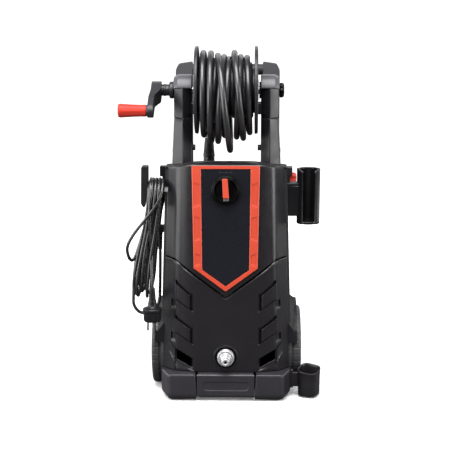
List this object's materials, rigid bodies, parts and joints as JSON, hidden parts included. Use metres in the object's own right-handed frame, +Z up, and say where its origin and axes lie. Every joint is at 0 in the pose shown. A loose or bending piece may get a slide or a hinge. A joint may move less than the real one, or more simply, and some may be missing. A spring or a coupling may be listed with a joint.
{
  "type": "pressure washer",
  "caption": "Upright electric pressure washer with a crank-wound hose reel between columns, rear wheels, gun holder, lance cup and hooked power lead.",
  "frame": {"origin": "on the floor below the middle of the whole machine, measured without the power lead and the hose", "axes": "+Z up, +Y from the control panel to the back, +X to the right of someone who looks at the panel"},
  "size_m": [0.41, 0.3, 0.7155],
  "materials": {
    "casing": "fine moulded grain, satin",
    "reel_plastic": "smooth satin",
    "panel": "smooth semi-gloss",
    "orange": "satin orange-red",
    "handle_metal": "black powder coat",
    "rubber": "matt",
    "tyre": "matt hard tread",
    "wheel_plastic": "satin",
    "hose": "satin PVC",
    "cable": "satin PVC",
    "chrome": "polished",
    "brass": "turned",
    "steel": "zinc plated",
    "bush_plastic": "natural nylon",
    "motor_casting": "cast"
  },
  "bodies": {
    "washer": {"axle_bushes": "bush_plastic", "base_tray": "casing", "cable_gland": "casing", "cable_hank": "cable", "capacitor": "bush_plastic", "column_bolts": "steel", "column_left": "casing", "column_right": "casing", "control_panel": "panel", "cover_screws": "steel", "front_foot_left": "casing", "front_foot_right": "casing", "gun_holder": "casing", "hook_bracket": "casing", "hose_coupling": "brass", "hose_end_sleeve": "rubber", "hose_tail": "hose", "inlet_connector": "brass", "lance_cup": "casing", "lead_loop": "cable", "lead_tail": "cable", "lower_front_cover": "casing", "motor_body": "motor_casting", "outlet_connector": "chrome", "outlet_nut": "chrome", "plug_body": "cable", "plug_pins": "chrome", "pump_block": "motor_casting", "pump_pistons": "steel", "rear_cover": "casing", "reel_bracket_left": "casing", "reel_bracket_right": "casing", "rubber_feet": "rubber", "switch_box": "casing", "trim_frame": "orange", "upper_front_cover": "casing", "wheel_stubs": "steel"},
    "reel": {"reel_axle": "steel", "reel_flange_left": "reel_plastic", "reel_flange_right": "reel_plastic", "reel_drum": "reel_plastic", "axle_knob": "casing", "crank_arm": "casing", "crank_pin": "steel", "hose_coil": "hose"},
    "grip": {"crank_grip": "orange"},
    "switch": {"switch_knob": "casing", "knob_pointer": "orange"},
    "handle": {"handle_post_left": "casing", "handle_post_right": "casing", "handle_bar": "handle_metal"},
    "handle_lock": {"handle_lock_knob": "orange"},
    "hook": {"cable_hook": "casing"},
    "wheel_left": {"wheel_hub_left": "wheel_plastic", "wheel_tyre_left": "tyre"},
    "wheel_right": {"wheel_hub_right": "wheel_plastic", "wheel_tyre_right": "tyre"},
    "motor": {"motor_rotor": "steel", "cooling_fan": "bush_plastic", "wobble_plate": "steel"}
  },
  "joints": [
    {"name": "reel_spin", "type": "hinge", "parent": "washer", "child": "reel", "pos_m": [0.00852, -0.03, 0.627], "axis": [1, 0, 0], "continuous": true},
    {"name": "grip_spin", "type": "hinge", "parent": "reel", "child": "grip", "pos_m": [-0.17648, -0.1, 0.591], "axis": [1, 0, 0], "continuous": true},
    {"name": "switch_turn", "type": "hinge", "parent": "washer", "child": "switch", "pos_m": [0.00852, -0.11121, 0.43384], "axis": [0, -0.9986, 0.0524], "range_deg": [-90, 0]},
    {"name": "handle_slide", "type": "slide", "parent": "washer", "child": "handle", "axis": [0, 0, 1], "range_m": [0, 0.17]},
    {"name": "lock_turn", "type": "hinge", "parent": "washer", "child": "handle_lock", "pos_m": [0.15052, 0.106, 0.428], "axis": [1, 0, 0], "range_deg": [0, 180]},
    {"name": "hook_swivel", "type": "hinge", "parent": "washer", "child": "hook", "pos_m": [-0.15548, -0.062, 0.433], "axis": [1, 0, 0], "range_deg": [0, 180]},
    {"name": "wheel_left_spin", "type": "hinge", "parent": "washer", "child": "wheel_left", "pos_m": [-0.12848, 0.011, 0.083], "axis": [1, 0, 0], "continuous": true},
    {"name": "wheel_right_spin", "type": "hinge", "parent": "washer", "child": "wheel_right", "pos_m": [0.14552, 0.011, 0.083], "axis": [1, 0, 0], "continuous": true},
    {"name": "motor_spin", "type": "hinge", "parent": "washer", "child": "motor", "pos_m": [0.00852, 0.015, 0.29], "axis": [0, 0, 1], "continuous": true}
  ]
}
